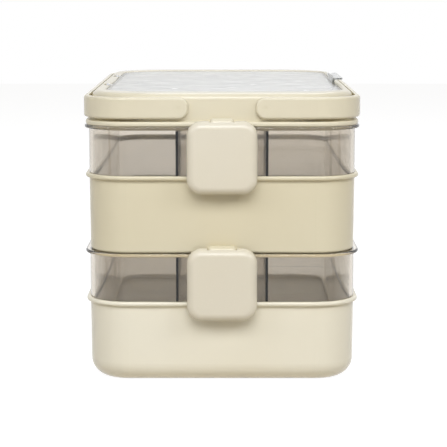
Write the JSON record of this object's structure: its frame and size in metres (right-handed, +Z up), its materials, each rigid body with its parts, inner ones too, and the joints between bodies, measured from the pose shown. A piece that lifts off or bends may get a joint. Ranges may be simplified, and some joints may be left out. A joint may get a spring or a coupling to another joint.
{
  "type": "storage box with handle",
  "caption": "Stacking storage box with clear divided trays between cream tubs, end latches, a lid with a clear hinged flap, and handles that swing up to meet over it.",
  "frame": {"origin": "middle of the underside, on the surface the box stands on", "axes": "+Z up; -Y is the narrow end in the picture, with the front latches; +X is to the right of someone facing that end, on the side of the flap's finger tab"},
  "size_m": [0.1778, 0.3146, 0.189],
  "materials": {
    "cream_plastic": "smooth moulded plastic with a soft shine",
    "latch_plastic": "smooth moulded plastic with a soft shine",
    "smoky_clear_plastic": "clear, smoky grey-brown moulded plastic",
    "clear_plastic": "clear moulded plastic",
    "pin_steel": "drawn steel pin"
  },
  "bodies": {
    "base": {"base_tub": "cream_plastic"},
    "lower_tray": {"lower_tray": "smoky_clear_plastic", "lower_left_divider_1": "smoky_clear_plastic", "lower_left_divider_2": "smoky_clear_plastic", "lower_middle_divider_1": "smoky_clear_plastic", "lower_middle_divider_2": "smoky_clear_plastic", "lower_right_divider_1": "smoky_clear_plastic"},
    "upper_tub": {"upper_tub": "cream_plastic", "lower_front_latch_pin": "pin_steel", "lower_rear_latch_pin": "pin_steel"},
    "upper_tray": {"upper_tray": "smoky_clear_plastic", "upper_left_divider_1": "smoky_clear_plastic", "upper_middle_divider_1": "smoky_clear_plastic", "upper_middle_divider_2": "smoky_clear_plastic", "upper_right_divider_1": "smoky_clear_plastic", "upper_right_divider_2": "smoky_clear_plastic"},
    "lid": {"lid_frame": "cream_plastic", "cover_hinge_pin": "pin_steel", "upper_front_latch_pin": "pin_steel", "upper_rear_latch_pin": "pin_steel"},
    "lid_cover": {"lid_cover": "clear_plastic"},
    "left_handle": {"left_handle": "cream_plastic"},
    "right_handle": {"right_handle": "cream_plastic"},
    "lower_front_latch": {"lower_front_latch": "latch_plastic"},
    "lower_rear_latch": {"lower_rear_latch": "latch_plastic"},
    "upper_front_latch": {"upper_front_latch": "latch_plastic"},
    "upper_rear_latch": {"upper_rear_latch": "latch_plastic"}
  },
  "joints": [
    {"name": "lower_tray_lift", "type": "slide", "parent": "base", "child": "lower_tray", "axis": [0, 0, 1], "range_m": [0, 0.06]},
    {"name": "upper_tub_lift", "type": "slide", "parent": "lower_tray", "child": "upper_tub", "axis": [0, 0, 1], "range_m": [0, 0.06]},
    {"name": "upper_tray_lift", "type": "slide", "parent": "upper_tub", "child": "upper_tray", "axis": [0, 0, 1], "range_m": [0, 0.06]},
    {"name": "lid_lift", "type": "slide", "parent": "upper_tray", "child": "lid", "axis": [0, 0, 1], "range_m": [0, 0.06]},
    {"name": "lid_cover_hinge", "type": "hinge", "parent": "lid", "child": "lid_cover", "pos_m": [-0.0787, 0, 0.1843], "axis": [0, -1, 0], "range_deg": [0, 110]},
    {"name": "left_handle_hinge", "type": "hinge", "parent": "lid", "child": "left_handle", "pos_m": [-0.0274, 0, 0.1766], "axis": [0, 1, 0], "range_deg": [0, 109.5]},
    {"name": "right_handle_hinge", "type": "hinge", "parent": "lid", "child": "right_handle", "pos_m": [0.0274, 0, 0.1766], "axis": [0, -1, 0], "range_deg": [0, 109.5]},
    {"name": "upper_front_latch_hinge", "type": "hinge", "parent": "lid", "child": "upper_front_latch", "pos_m": [0, -0.1511, 0.1672], "axis": [-1, 0, 0], "range_deg": [0, 110]},
    {"name": "upper_rear_latch_hinge", "type": "hinge", "parent": "lid", "child": "upper_rear_latch", "pos_m": [0, 0.1511, 0.1672], "axis": [1, 0, 0], "range_deg": [0, 110]},
    {"name": "lower_front_latch_hinge", "type": "hinge", "parent": "upper_tub", "child": "lower_front_latch", "pos_m": [0, -0.1511, 0.0863], "axis": [-1, 0, 0], "range_deg": [0, 110]},
    {"name": "lower_rear_latch_hinge", "type": "hinge", "parent": "upper_tub", "child": "lower_rear_latch", "pos_m": [0, 0.1511, 0.0863], "axis": [1, 0, 0], "range_deg": [0, 110]}
  ]
}
